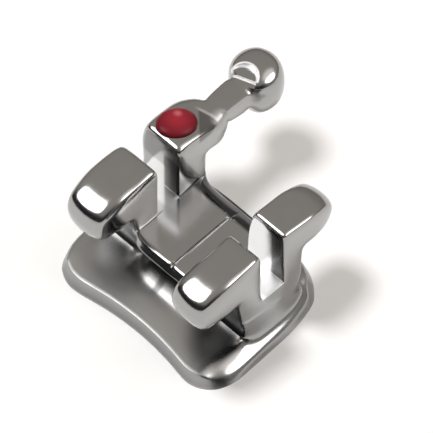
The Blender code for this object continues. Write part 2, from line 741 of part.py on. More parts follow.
def make_notch_cutter():
    """Half an oval prism over the notch's straight side, from its floor to above the knob."""
    start, end = Vector(NOTCH_START), Vector(NOTCH_END)
    middle, half = (start + end) / 2, (end - start) / 2
    away = Vector((-half.y, half.x)).normalized() * NOTCH_DEPTH
    outline = []
    for side in range(NOTCH_SIDES + 1):
        angle = math.pi * side / NOTCH_SIDES
        outline.append(middle + half * math.cos(angle) + away * math.sin(angle))
    floor = NECK_TOP_HEIGHT + NOTCH_STEP
    bm = bmesh.new()
    rings = []
    for z in (floor, KNOB_CENTRE_HEIGHT + 2 * KNOB_HALF_HEIGHT):
        rings.append([bm.verts.new((point.x * MM, point.y * MM, z * MM)) for point in outline])
    bm.faces.new(rings[0][::-1])
    bm.faces.new(rings[1])
    for side in range(len(outline)):
        after = (side + 1) % len(outline)
        bm.faces.new((rings[0][side], rings[0][after], rings[1][after], rings[1][side]))
    mesh = bpy.data.meshes.new("notch_cutter")
    bm.to_mesh(mesh)
    bm.free()
    return make_cutter("notch_cutter", mesh)


def make_bracket_body():
    steel = make_material("steel", (0.42, 0.40, 0.38), 1.0, 0.15)
    body = add_object("bracket_body", build_body_mesh(), steel)
    surface = body.modifiers.new("surface", "SUBSURF")
    surface.levels = SURFACE_LEVELS
    surface.render_levels = SURFACE_LEVELS
    for cutter in (make_dimple_cutter(), make_notch_cutter()):
        cut = body.modifiers.new(cutter.name, "BOOLEAN")
        cut.object = cutter
        cut.operation = "DIFFERENCE"
        cut.solver = "EXACT"
    return body


def make_colour_dot():
    enamel = make_material("red_enamel", (0.24, 0.018, 0.030), 0.0, 0.25)
    depth = DIMPLE_DEPTH - DOT_CLEARANCE
    dot = add_object("colour_dot", dome_mesh("colour_dot", DOT_LENGTH / 2, depth, DOT_DOME), enamel)
    seat_on_hooked_wing(dot)
    return dot


def main():
    clear_scene()
    make_bracket_body()
    make_colour_dot()


main()
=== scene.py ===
import math

import bmesh
import bpy
from mathutils import Matrix, Vector


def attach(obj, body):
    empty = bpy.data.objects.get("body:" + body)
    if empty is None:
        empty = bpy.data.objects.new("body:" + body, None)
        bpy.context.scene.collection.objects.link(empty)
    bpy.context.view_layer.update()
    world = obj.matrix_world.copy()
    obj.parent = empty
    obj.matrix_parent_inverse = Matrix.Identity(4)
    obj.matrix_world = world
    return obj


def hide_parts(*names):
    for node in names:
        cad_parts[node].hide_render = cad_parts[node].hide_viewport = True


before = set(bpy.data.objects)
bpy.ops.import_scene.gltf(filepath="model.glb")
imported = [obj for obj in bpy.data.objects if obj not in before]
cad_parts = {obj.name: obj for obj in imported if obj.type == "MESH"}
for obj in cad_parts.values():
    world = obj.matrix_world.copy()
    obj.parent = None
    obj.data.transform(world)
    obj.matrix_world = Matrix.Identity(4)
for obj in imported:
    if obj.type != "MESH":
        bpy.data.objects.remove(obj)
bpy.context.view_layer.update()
scene = bpy.context.scene
mm = 0.001


class Wire:
    # wraps a socket, so that shader maths reads as an expression
    def __init__(self, graph, socket):
        self.graph = graph
        self.socket = socket

    def maths(self, operation, first, second):
        return self.graph.node("ShaderNodeMath", {"operation": operation}, {0: first, 1: second})

    def __add__(self, other):
        return self.maths("ADD", self, other)

    def __radd__(self, other):
        return self.maths("ADD", other, self)

    def __sub__(self, other):
        return self.maths("SUBTRACT", self, other)

    def __rsub__(self, other):
        return self.maths("SUBTRACT", other, self)

    def __mul__(self, other):
        return self.maths("MULTIPLY", self, other)

    def __rmul__(self, other):
        return self.maths("MULTIPLY", other, self)

    def __truediv__(self, other):
        return self.maths("DIVIDE", self, other)

    def __pow__(self, other):
        return self.maths("POWER", self, other)

    def __abs__(self):
        return self.graph.node("ShaderNodeMath", {"operation": "ABSOLUTE"}, {0: self})


class Graph:
    # the nodes of one material or world
    def __init__(self, owner):
        owner.use_nodes = True
        self.tree = owner.node_tree
        self.tree.nodes.clear()

    def feed(self, socket, value):
        if isinstance(value, Wire):
            self.tree.links.new(value.socket, socket)
        else:
            socket.default_value = value

    def node(self, kind, settings=None, inputs=None, output=0):
        made = self.tree.nodes.new(kind)
        for name, value in (settings or {}).items():
            if name == "stops":
                ramp = made.color_ramp
                while len(ramp.elements) < len(value):
                    ramp.elements.new(0.5)
                for element, (place, color) in zip(ramp.elements, value):
                    element.position = place
                    element.color = (*color, 1) if len(color) == 3 else color
            elif name == "interpolation":
                made.color_ramp.interpolation = value
            else:
                setattr(made, name, value)
        for name, value in (inputs or {}).items():
            self.feed(made.inputs[name], value)
        return Wire(self, made.outputs[output]) if made.outputs else made

    def smooth(self, value, low, high):
        # 0 below low, 1 above high, and smooth between them
        return self.node(
            "ShaderNodeMapRange",
            {"interpolation_type": "SMOOTHSTEP"},
            {"Value": value, "From Min": low, "From Max": high},
        )

    def below(self, value, low, high):
        return 1 - self.smooth(value, low, high)

    def within(self, value, rise, fall):
        # 1 between two fades, each given by its start and end
        return self.smooth(value, *rise) * self.below(value, *fall)

    def measure(self, operation, first, second):
        # a distance or a dot product of two vectors
        return self.node("ShaderNodeVectorMath", {"operation": operation}, {0: first, 1: second}, 1)

    def blend(self, share, first, second):
        # mixes two colours
        return self.node("ShaderNodeMix", {"data_type": "RGBA"}, {"Factor": share, 6: first, 7: second}, 2)


# bracket shape, in millimetres and degrees; a share is a part of the length that it goes with

shape = {
    "slotWidth": 0.56,
    "slotFloor": 1.21,
    "twinGap": 1.94,
    "hookedTwinWidth": 1.00,
    "plainTwinWidth": 0.80,
    "plainTwinDraft": 0.17,
    "panelFront": 0.90,
    "panelRear": 0.63,
    "panelSlopeReach": 0.44,
    "panelSlopeDrop": 0.22,
    "lipChamfer": 0.13,
    "lipHeight": 0.17,
    "lipRecess": 0.26,
    "recessFootHeight": 0.86,
    "filletFront": 1.05,
    "filletHeight": 0.43,
    "filletRunHeight": 0.38,
    "frontPostLean": 0.22,
    "scribeWidth": 0.055,
    "scribeDepth": 0.035,
    "wingHeight": 2.72,
    "wingMiddleShare": 0.45,
    "frontWingReach": 1.58,
    "rearWingReach": 1.33,
    "frontPostDepth": 0.66,
    "plainPostDepth": 0.52,
    "hookedPostDepth": 0.78,
    "frontWingFall": 0.085,
    "rearWingFall": 0.09,
    "hookedWingFall": 0.14,
    "frontUndercut": 1.75,
    "rearUndercut": 1.90,
    "frontClawDrop": 0.20,
    "rearClawDrop": 0.10,
    "clawDropShare": 0.7,
    "frontClawLength": 0.48,
    "rearClawLength": 0.40,
    "hookedClawLength": 0.28,
    "noseDrop": 0.12,
    "noseInset": 0.11,
    "noseUndercut": 0.12,
    "noseBulge": 0.06,
    "plainWingFlare": 0.09,
    "plainReachExtra": 0.07,
    "plainRearNoseBulge": 0.08,
    "hookedSlotInset": 0.05,
    "wingCrown": 0.03,
    "noseCorner": 0.08,
    "hookedNoseLift": 0.12,
    "shoulderDrop": 0.14,
    "outerShoulderShare": 0.4,
    "innerShoulderShare": 1.6,
    "clawDrawIn": 0.15,
    "noseDrawIn": 0.35,
    "hookedTopInset": 0.09,
    "hookedSideBulge": 0.07,
    "hookedReachExtra": 0.06,
    "padFront": 2.06,
    "padRear": 1.42,
    "padHookedEnd": 2.25,
    "padPlainEnd": 2.19,
    "padRearTaper": 0.17,
    "padFrontCorner": 0.86,
    "padRearCorner": 1.00,
    "padWaist": 0.21,
    "padWaistHalfLength": 1.55,
    "padHookedRim": 0.38,
    "padPlainRim": 0.28,
    "padRimDraft": 0.07,
    "padRise": 0.04,
    "padPlainDraft": 0.09,
    "padEndFall": 0.10,
    "footFlare": 0.14,
    "plainFootShare": 0.3,
    "padPanelShare": 0.7,
    "padScribeShare": 0.35,
    "lipScribeShare": 0.3,
    "lipLeanShare": 0.53,
    "floorLeanShare": 0.4,
    "draftShares": {"undercut": 0.85, "wingMiddle": 0.5, "wingTop": 0},
    "slopeFootRun": 0.04,
    "panelFillet": 0.07,
    "knobOffset": 0.40,
    "knobRadius": 0.58,
    "knobHalfHeight": 0.61,
    "knobReach": 2.72,
    "knobHeight": 2.11,
    "knobSquareness": 3.0,
    "knobInnerSpread": 0.36,
    "knobInnerRows": {"knobA": -0.2, "knobB": 0.4},
    "knobLevels": {"undercut": -1, "wingMiddle": -0.4, "wingTop": 0.4, "knobTop": 1},
    "neckOffset": 0.09,
    "neckWidth": 0.52,
    "neckThickness": 0.47,
    "neckTop": 2.52,
    "neckMiddleShare": 0.45,
    "neckFlare": 0.60,
    "neckRunIn": 2.32,
    "neckRootShare": 1.2,
    "runInLean": 0.05,
    "notchStart": (-1.63, 2.275),
    "notchEnd": (-1.10, 2.47),
    "notchDepth": 0.27,
    "notchStep": 0.045,
    "notchSides": 32,
    "runInReach": 0.4,
    "runInFlare": 0.1,
    "toolTop": 3.2,
    "smoothSteps": 3,
    "cornerAngle": 38,
}

slotHalf = shape["slotWidth"] / 2
twinInner = shape["twinGap"] / 2
hookedOuter = -(twinInner + shape["hookedTwinWidth"])
plainOuter = twinInner + shape["plainTwinWidth"]
hookedMiddle = -(twinInner + shape["hookedTwinWidth"] / 2)
neckInner = -(twinInner + shape["neckOffset"])
neckRoot = shape["neckThickness"] * shape["neckRootShare"]

# the lattice planes across X, Y and Z, in order
cols = {
    name: i
    for i, name in enumerate(
        "padLeft leftOut leftA leftB leftIn panelLeft scribeA scribe scribeB"
        " panelRight rightIn rightB rightA rightOut padRight".split()
    )
}
rows = {
    name: i
    for i, name in enumerate(
        "padFront frontNose frontClaw frontPost slotFront slotRear rearPost rearClaw rearNose"
        " neck knobNear knobA knobB knobFar".split()
    )
}
levels = {
    name: i
    for i, name in enumerate("base padTop lip slotFloor undercut wingMiddle wingTop knobTop".split())
}
colNames, rowNames, levelNames = list(cols), list(rows), list(levels)


def mix(a, b, share):
    return a + (b - a) * share


def bodyX(col):
    # where a lattice plane stands in the block, posts and wings
    if col in ("leftA", "leftB"):
        return mix(hookedOuter, -twinInner, 1 / 3 if col == "leftA" else 2 / 3)
    if col in ("rightA", "rightB"):
        return mix(plainOuter, twinInner, 1 / 3 if col == "rightA" else 2 / 3)
    return {
        "leftOut": hookedOuter,
        "leftIn": -twinInner,
        "panelLeft": shape["panelFillet"] - twinInner,
        "scribeA": -shape["scribeWidth"] / 2,
        "scribe": 0,
        "scribeB": shape["scribeWidth"] / 2,
        "panelRight": twinInner - shape["panelFillet"],
        "rightIn": twinInner,
        "rightOut": plainOuter,
    }[col]


def isLeft(col):
    return cols[col] <= cols["leftIn"]


def inPanel(col):
    return cols["leftIn"] < cols[col] < cols["rightIn"]


def touchesPanel(col):
    return cols["leftIn"] <= cols[col] <= cols["rightIn"]


def roundCorner(x, y, halfLength, halfWidth, radius):
    across = abs(x) - (halfLength - radius)
    along = abs(y) - (halfWidth - radius)
    if across <= 0 or along <= 0:
        return x, y
    shrink = max(across, along) / math.hypot(across, along)
    x = math.copysign(abs(x) - across * (1 - shrink), x)
    y = math.copysign(abs(y) - along * (1 - shrink), y)
    return x, y


def padPoint(col, row, level):
    # rounded plate, waisted at the front and shorter at the rear, with a crowned top
    onTop = level == "padTop"
    draft = shape["padRimDraft"] if onTop else 0
    taper = shape["padRearTaper"] * rows[row] / rows["rearNose"]
    plainEnd = shape["padPlainEnd"] - taper - (shape["padPlainDraft"] if onTop else 0)
    columns = {
        "padLeft": taper + draft - shape["padHookedEnd"],
        "leftOut": hookedOuter - shape["footFlare"] / 2,
        "panelLeft": -twinInner * shape["padPanelShare"],
        "scribeA": -twinInner * shape["padScribeShare"],
        "scribeB": twinInner * shape["padScribeShare"],
        "panelRight": twinInner * shape["padPanelShare"],
        "rightOut": plainOuter + shape["footFlare"] * shape["plainFootShare"],
        "padRight": plainEnd,
    }
    x = columns[col] if col in columns else bodyX(col)
    front, rear = shape["padFront"] - draft, shape["padRear"] - draft
    blockFront = shape["panelFront"] + shape["footFlare"]
    blockRear = slotHalf + shape["plainPostDepth"] + shape["footFlare"]
    postFoot, wallFoot = blockFront, -slotHalf
    if onTop:
        postFoot = slotHalf + shape["frontPostDepth"] - shape["frontPostLean"]
    if onTop and inPanel(col):
        postFoot = shape["filletFront"]
        blockRear = shape["panelRear"] + shape["panelSlopeReach"] + shape["slopeFootRun"]
    if onTop and touchesPanel(col):
        blockFront = shape["panelFront"]
        wallFoot = shape["lipRecess"] - shape["panelFront"]
    y = {
        "padFront": -front,
        "frontNose": -mix(front, blockFront, 1 / 3),
        "frontClaw": -mix(front, blockFront, 2 / 3),
        "frontPost": -postFoot,
        "slotFront": wallFoot,
        "slotRear": slotHalf,
        "rearPost": blockRear,
        "rearClaw": mix(blockRear, rear, 1 / 2),
        "rearNose": rear,
    }[row]
    halfLength = shape["padHookedEnd"] - taper - draft if x < 0 else plainEnd
    halfWidth, radius = (front, shape["padFrontCorner"]) if y < 0 else (rear, shape["padRearCorner"])
    x, y = roundCorner(x, y, halfLength, halfWidth, radius)
    if rows[row] < rows["frontPost"]:
        waist = max(0, 1 - (x / shape["padWaistHalfLength"]) ** 2)
        y += shape["padWaist"] * waist * (1 - rows[row] / rows["frontPost"])
    if level == "base":
        return x, y, 0
    along = (x + shape["padHookedEnd"]) / (shape["padHookedEnd"] + shape["padPlainEnd"])
    z = mix(shape["padHookedRim"], shape["padPlainRim"], along)
    if col == "padRight":
        z -= shape["padEndFall"]
    if col in ("padLeft", "padRight") or row in ("padFront", "rearNose"):
        return x, y, z
    if inPanel(col):
        fillet = {
            "frontClaw": shape["filletRunHeight"],
            "frontPost": shape["filletHeight"],
            "slotFront": shape["recessFootHeight"],
        }
        return x, y, fillet.get(row, z + shape["padRise"])
    return x, y, z + shape["padRise"]


def blockPoint(col, row, level):
    # lip, panel with its scribe line, and the feet of the posts
    x, z = bodyX(col), shape["slotFloor"]
    onLip, panel = level == "lip", inPanel(col)
    if panel:
        frontY, rearY = shape["panelFront"], shape["panelRear"]
    else:
        lean = shape["frontPostLean"] * shape["lipLeanShare" if onLip else "floorLeanShare"]
        frontY = slotHalf + shape["frontPostDepth"] - lean
        rearY = slotHalf + shape["hookedPostDepth" if isLeft(col) else "plainPostDepth"]
    y = {"frontPost": -frontY, "slotFront": -slotHalf, "slotRear": slotHalf, "rearPost": rearY}[row]
    if panel and onLip and row == "rearPost":
        return x, y + shape["panelSlopeReach"], z - shape["panelSlopeDrop"]
    if onLip and row == "slotFront" and touchesPanel(col):
        y = shape["lipRecess"] - shape["panelFront"]
    if panel and onLip and row == "frontPost":
        y -= shape["lipChamfer"]
    if col in ("panelRight", "rightIn"):
        x -= shape["plainTwinDraft"]
    if not onLip and col == "leftIn" and row == "rearPost":
        z += shape["panelFillet"]
    if onLip:
        z -= shape["lipHeight"]
        if col in ("scribeA", "scribe", "scribeB"):
            x = math.copysign(twinInner * shape["lipScribeShare"], x) if x else 0
    elif col == "scribe":
        z -= shape["scribeDepth"]
    return x, y, z


def wingPoint(col, row, level):
    # posts above the slot floor and the tie wings, with rounded noses and short claws
    x = bodyX(col)
    sign, post, reach = -1, shape["frontPostDepth"], shape["frontWingReach"]
    undercut, fall = shape["frontUndercut"], shape["frontWingFall"]
    clawLength, clawDrop = shape["frontClawLength"], shape["frontClawDrop"]
    if rows[row] > rows["slotFront"]:
        sign, reach, undercut = 1, shape["rearWingReach"], shape["rearUndercut"]
        post = shape["hookedPostDepth" if isLeft(col) else "plainPostDepth"]
        fall = shape["hookedWingFall" if isLeft(col) else "rearWingFall"]
        clawLength = shape["hookedClawLength" if isLeft(col) else "rearClawLength"]
        clawDrop = shape["rearClawDrop"]
    atPost = row in ("frontPost", "rearPost")
    claw = row in ("frontClaw", "rearClaw")
    nose = row in ("frontNose", "rearNose")
    out = post if atPost else reach - clawLength if claw else reach if nose else 0
    top = shape["wingHeight"] - fall * out
    outside = col in ("leftOut", "rightOut")
    if outside and (atPost or claw):
        x += math.copysign(shape["wingCrown"], x)
    if col == "leftOut" and rows[row] >= rows["slotRear"]:
        x += shape["hookedTopInset"] if level == "wingTop" else -shape["hookedSideBulge"]
    if isLeft(col) and nose and sign > 0:
        out += shape["hookedReachExtra"]
    if col == "rightIn":
        x -= shape["plainTwinDraft"] * shape["draftShares"][level]
    if nose and not isLeft(col):
        out += shape["plainReachExtra"]
    if col == "rightIn" and sign < 0 and (claw or nose):
        x -= shape["plainWingFlare"]
    if col == "leftOut" and row == "slotFront":
        x += shape["hookedSlotInset"]
    if nose and (outside or col in ("leftIn", "rightIn")):
        out -= shape["noseCorner"]
        x -= math.copysign(shape["noseCorner"] / 2, x) * (1 if outside else -1)
    if level == "wingTop":
        z = top - (shape["noseDrop"] if nose else 0)
        out -= shape["noseInset"] if nose else 0
    elif level == "wingMiddle":
        z = mix(undercut, top, shape["wingMiddleShare"])
        out += shape["noseBulge"] if nose else 0
        out += shape["plainRearNoseBulge"] if row == "rearNose" and not isLeft(col) else 0
    else:
        z = undercut - clawDrop * (1 if nose else shape["clawDropShare"] if claw else 0)
        z += shape["hookedNoseLift"] if col == "leftIn" and row == "frontNose" else 0
        out -= shape["noseUndercut"] if nose else 0
    if isLeft(col) and row in ("rearClaw", "rearNose"):
        x, z = hookedShoulder(x, z, col, row, level)
    return x, sign * (slotHalf + out), z


def hookedShoulder(x, z, col, row, level):
    # past the post the shoulders fall away, and the middle cells take the neck's width
    if col in ("leftA", "leftB"):
        x = neckInner - (shape["neckWidth"] if col == "leftA" else 0)
        if row == "rearNose" and level != "undercut" or level == "wingTop":
            z = shape["neckTop"] - (shape["neckThickness"] if level == "wingMiddle" else 0)
        return x, z
    if col == "leftOut":
        x = mix(x, hookedMiddle, shape["noseDrawIn" if row == "rearNose" else "clawDrawIn"])
    if level == "wingTop":
        share = shape["outerShoulderShare" if col == "leftOut" else "innerShoulderShare"]
        z -= shape["shoulderDrop"] * share
        z += shape["noseDrop"] if row == "rearNose" and col == "leftOut" else 0
    return x, z


# degrees round the knob's rim, from +X
knobBearings = {
    ("knobNear", "leftOut"): -150,
    ("knobNear", "leftA"): -120,
    ("knobNear", "leftB"): -60,
    ("knobNear", "leftIn"): -30,
    ("knobA", "leftOut"): 180,
    ("knobA", "leftIn"): 0,
    ("knobB", "leftOut"): 155,
    ("knobB", "leftIn"): 25,
    ("knobFar", "leftOut"): 130,
    ("knobFar", "leftA"): 103,
    ("knobFar", "leftB"): 77,
    ("knobFar", "leftIn"): 50,
}


def hookPoint(col, row, level):
    # the neck, and the knob: cells pushed out to a rounded barrel
    if row == "neck":
        x = neckInner - (shape["neckWidth"] if col == "leftA" else 0)
        wingEnd, knobStart = slotHalf + shape["rearWingReach"], shape["knobReach"] - shape["knobRadius"]
        y = mix(wingEnd, knobStart, shape["neckMiddleShare"])
        return x, y, shape["neckTop"] - (0 if level == "wingTop" else shape["neckThickness"])
    if row == "knobNear" and col in ("leftA", "leftB") and level in ("wingTop", "wingMiddle"):
        x = neckInner - shape["neckWidth"] / 2 + shape["neckFlare"] / 2 * (-1 if col == "leftA" else 1)
        if level == "wingTop":
            return x, shape["neckRunIn"], shape["neckTop"]
        return x, shape["neckRunIn"] - shape["runInLean"], shape["neckTop"] - neckRoot
    bearing = knobBearings.get((row, col))
    if bearing is None:
        across = shape["knobInnerSpread"] * (-1 if col == "leftA" else 1)
        along = shape["knobInnerRows"][row]
    else:
        across, along = math.cos(math.radians(bearing)), math.sin(math.radians(bearing))
    up = shape["knobLevels"][level]
    power = shape["knobSquareness"]
    size = (math.hypot(across, along) ** power + abs(up) ** power) ** (1 / power)
    return (
        -(twinInner + shape["knobOffset"]) + shape["knobRadius"] * across / size,
        shape["knobReach"] + shape["knobRadius"] * along / size,
        shape["knobHeight"] + shape["knobHalfHeight"] * up / size,
    )


def latticePoint(key):
    col, row, level = colNames[key[0]], rowNames[key[1]], levelNames[key[2]]
    if rows[row] >= rows["neck"]:
        return hookPoint(col, row, level)
    if level in ("base", "padTop"):
        return padPoint(col, row, level)
    if level in ("lip", "slotFloor"):
        return blockPoint(col, row, level)
    return wingPoint(col, row, level)


def solidCells():
    # ranges of lattice planes that are filled with metal
    blocks = [
        "padLeft padRight padFront rearNose base padTop",
        "leftOut rightOut slotFront rearPost padTop slotFloor",
        "leftOut rightOut frontPost slotFront lip slotFloor",
        "leftOut leftIn frontPost slotFront padTop lip",
        "rightIn rightOut frontPost slotFront padTop lip",
        "leftA leftB rearNose knobNear wingMiddle wingTop",
        "leftOut leftIn knobNear knobFar undercut knobTop",
    ]
    for twin in ("leftOut leftIn", "rightIn rightOut"):
        for rest in (
            "frontPost slotFront slotFloor undercut",
            "slotRear rearPost slotFloor undercut",
            "frontNose slotFront undercut wingTop",
            "slotRear rearNose undercut wingTop",
        ):
            blocks.append(twin + " " + rest)
    cells = set()
    for block in blocks:
        c0, c1, r0, r1, l0, l1 = block.split()
        for col in range(cols[c0], cols[c1]):
            for row in range(rows[r0], rows[r1]):
                for level in range(levels[l0], levels[l1]):
                    cells.add((col, row, level))
    return cells


panelCols = set(colNames[cols["panelLeft"] : cols["panelRight"] + 1])

# how tight each kind of edge stays, in smoothing steps: 0 is soft, 10 is a true corner
tightness = {
    "base": 10,
    "postFoot": 1.5,
    "padFront": 4.5,
    "padRim": 0.5,
    "scribe": 3,
    "slotFloor": 10,
    "panel": 2.5,
    "lip": 4,
    "block": 1,
    "hookedSlotEnd": 0.8,
    "plainSlotEnd": 1,
    "plainFrontSlotTop": 0.6,
    "plainRearSlotTop": 1.4,
    "hookedSlotTop": 1.1,
    "slotInner": 5,
    "slotWall": 2,
    "nose": 0.5,
    "frontTop": 0.4,
    "hookedRearInner": 0.6,
    "hookedRearTop": 1.5,
    "hookedOuterTop": 0.7,
    "wingTop": 1.2,
    "undercut": 0.3,
    "hookedOuter": 0.6,
    "wing": 1,
    "hook": 2.6,
}


def edgeTightness(ends, sides):
    # from the lattice keys of an edge's ends, and the directions that its two faces look in
    inCols = {colNames[key[0]] for key in ends}
    inRows = {rowNames[key[1]] for key in ends}
    inLevels = {levelNames[key[2]] for key in ends}
    lastRow = max(key[1] for key in ends)
    firstRow = min(key[1] for key in ends)
    firstCol = min(key[0] for key in ends)
    topLevel = max(key[2] for key in ends)
    onTop = inLevels == {"wingTop"}
    if lastRow >= rows["neck"]:
        return tightness["hook"] if lastRow <= rows["knobNear"] and firstRow < lastRow else 0
    if inLevels == {"slotFloor"} and len(inRows) == 2 and inCols in ({"scribeA"}, {"scribe"}, {"scribeB"}):
        return tightness["scribe"]
    if sides[0] == sides[1]:
        return 0
    if inLevels == {"base"}:
        return tightness["base"]
    if inLevels == {"padTop"}:
        if inRows == {"frontPost"} and not inCols & panelCols:
            return tightness["postFoot"]
        if inRows == {"padFront"}:
            return tightness["padFront"]
        return tightness["padRim"] if inRows == {"rearNose"} or inCols <= {"padLeft", "padRight"} else 0
    if topLevel <= levels["padTop"]:
        return 0
    if inLevels == {"slotFloor"}:
        return tightness["slotFloor" if inRows in ({"slotFront"}, {"slotRear"}) else "panel"]
    if topLevel <= levels["slotFloor"]:
        return tightness["lip" if inLevels == {"lip"} and inRows == {"frontPost"} else "block"]
    if inRows in ({"slotFront"}, {"slotRear"}):
        if inCols == {"leftOut"}:
            return tightness["hookedSlotEnd"]
        if inCols == {"rightOut"} and inRows == {"slotFront"}:
            return tightness["plainSlotEnd"]
        if onTop and firstCol >= cols["rightIn"]:
            return tightness["plainFrontSlotTop" if inRows == {"slotFront"} else "plainRearSlotTop"]
        if onTop:
            return tightness["hookedSlotTop"]
        return tightness["slotInner" if inCols in ({"leftIn"}, {"rightIn"}) else "slotWall"]
    if inRows & {"frontNose", "rearNose"}:
        return 0 if inRows == {"frontNose", "frontClaw"} else tightness["nose"]
    if onTop:
        if inRows == {"frontClaw", "frontPost"}:
            return tightness["frontTop"]
        if inRows <= {"slotRear", "rearPost"} and inCols == {"leftIn"}:
            return tightness["hookedRearInner"]
        if inCols <= {"leftOut", "leftA", "leftB", "leftIn"} and inRows == {"rearPost"}:
            return tightness["hookedRearTop"]
        return tightness["hookedOuterTop" if inCols == {"leftOut"} else "wingTop"]
    if inLevels == {"undercut"} and inRows <= {"frontPost", "rearPost"}:
        return tightness["undercut"]
    return tightness["hookedOuter" if inCols == {"leftOut"} else "wing"]


def faceCorners(cell, axis, step):
    a, b = (axis + 1) % 3, (axis + 2) % 3
    corners = []
    for da, db in ((0, 0), (1, 0), (1, 1), (0, 1)):
        key = list(cell)
        key[axis] += 1 if step > 0 else 0
        key[a] += da
        key[b] += db
        corners.append(tuple(key))
    return corners if step > 0 else corners[::-1]


def bodyCage():
    cells = solidCells()
    cage = bmesh.new()
    crease = cage.edges.layers.float.new("crease_edge")
    corners, facing, keys = {}, {}, {}
    for cell in sorted(cells):
        for axis in range(3):
            for step in (-1, 1):
                other = list(cell)
                other[axis] += step
                if tuple(other) in cells:
                    continue
                around = faceCorners(cell, axis, step)
                for key in around:
                    if key not in corners:
                        corners[key] = cage.verts.new([value * mm for value in latticePoint(key)])
                        keys[corners[key]] = key
                face = cage.faces.new([corners[key] for key in around])
                facing[face] = (axis, step)
    for edge in cage.edges:
        sides = [facing[face] for face in edge.link_faces]
        ends = [keys[vert] for vert in edge.verts]
        edge[crease] = math.sqrt(edgeTightness(ends, sides) / tightness["base"])
    mesh = bpy.data.meshes.new("bracketCage")
    cage.to_mesh(mesh)
    cage.free()
    return mesh


def addPiece(name, mesh):
    piece = bpy.data.objects.new(name, mesh)
    scene.collection.objects.link(piece)
    return piece


def settled(piece):
    # the piece with its modifiers applied, shaded smooth with crisp true corners
    bpy.context.view_layer.update()
    mesh = bpy.data.meshes.new_from_object(piece.evaluated_get(bpy.context.evaluated_depsgraph_get()))
    piece.modifiers.clear()
    piece.data = mesh
    mesh.shade_smooth()
    mesh.set_sharp_from_angle(angle=math.radians(shape["cornerAngle"]))
    return piece


dotShape = {
    "length": 0.80,
    "width": 0.69,
    "turn": -20,
    "offset": -0.02,
    "dome": 0.13,
    "fullness": 0.8,
    "skirt": 0.02,
    "footShare": 0.97,
    "reach": 0.465,
    "dimpleDepth": 0.06,
    "clearance": 0.008,
    "sides": 96,
    "rings": 16,
}


def dotSeat():
    # the middle of the dot's foot, on the sloping top of the hooked wing
    height = shape["wingHeight"] - shape["hookedWingFall"] * dotShape["reach"]
    return Vector((hookedMiddle + dotShape["offset"], slotHalf + dotShape["reach"], height)) * mm


def seatOnHookedWing(piece):
    tilt = Matrix.Rotation(-math.atan(shape["hookedWingFall"]), 4, "X")
    turn = Matrix.Rotation(math.radians(dotShape["turn"]), 4, "Z")
    oval = Matrix.Diagonal((dotShape["width"] / dotShape["length"], 1, 1, 1))
    piece.data.transform(Matrix.Translation(dotSeat()) @ tilt @ turn @ oval)


def turned(name, profile, sides):
    # a closed solid turned about Z from (radius, height) pairs, the last one on the axis
    solid = bmesh.new()
    loops = []
    for radius, height in profile[:-1]:
        loop = []
        for side in range(sides):
            angle = math.tau * side / sides
            spot = (radius * math.cos(angle) * mm, radius * math.sin(angle) * mm, height * mm)
            loop.append(solid.verts.new(spot))
        loops.append(loop)
    for low, high in zip(loops, loops[1:]):
        for side in range(sides):
            after = (side + 1) % sides
            solid.faces.new((low[side], low[after], high[after], high[side]))
    solid.faces.new(loops[0][::-1])
    tip = solid.verts.new((0, 0, profile[-1][1] * mm))
    for side in range(sides):
        solid.faces.new((loops[-1][side], loops[-1][(side + 1) % sides], tip))
    mesh = bpy.data.meshes.new(name)
    solid.to_mesh(mesh)
    solid.free()
    return mesh


def makeBody():
    body = addPiece("bracketSteel", bodyCage())
    smoothing = body.modifiers.new("smoothing", "SUBSURF")
    smoothing.levels = shape["smoothSteps"]
    smoothing.render_levels = shape["smoothSteps"]
    radius, depth = dotShape["length"] / 2 + dotShape["clearance"], dotShape["dimpleDepth"]
    hole = turned("dimpleDrill", [(radius, -depth), (radius, depth), (0, depth)], dotShape["sides"])
    drill = addPiece("dimpleDrill", hole)
    seatOnHookedWing(drill)
    tools = [drill, notchTool("notchTool", True), notchTool("runInTool", False)]
    for tool in tools:
        cut = body.modifiers.new(tool.name, "BOOLEAN")
        cut.object = tool
        cut.operation = "DIFFERENCE"
        cut.solver = "EXACT"
    settled(body)
    for tool in tools:
        bpy.data.objects.remove(tool, do_unlink=True)
    return body


def notchTool(name, rounded):
    # cuts the knob down to the neck's flat top: a D behind the notch line, or the run-in before it
    start, end = Vector(shape["notchStart"]), Vector(shape["notchEnd"])
    middle, half = (start + end) / 2, (end - start) / 2
    away = Vector((-half.y, half.x)).normalized()
    outline = []
    if rounded:
        for i in range(shape["notchSides"] + 1):
            angle = math.pi * i / shape["notchSides"]
            outline.append(middle + half * math.cos(angle) + away * shape["notchDepth"] * math.sin(angle))
        bottom = shape["neckTop"] + shape["notchStep"]
    else:
        back, flare = away * shape["runInReach"], half * shape["runInFlare"]
        outline = [start, start - back - flare, end - back + flare, end]
        bottom = shape["neckTop"]
    tool = bmesh.new()
    rings = []
    for z in (bottom, shape["toolTop"]):
        rings.append([tool.verts.new((point.x * mm, point.y * mm, z * mm)) for point in outline])
    tool.faces.new(rings[0][::-1])
    tool.faces.new(rings[1])
    for i in range(len(outline)):
        after = (i + 1) % len(outline)
        tool.faces.new((rings[0][i], rings[0][after], rings[1][after], rings[1][i]))
    mesh = bpy.data.meshes.new(name)
    bmesh.ops.recalc_face_normals(tool, faces=tool.faces)
    tool.to_mesh(mesh)
    tool.free()
    return addPiece(name, mesh)


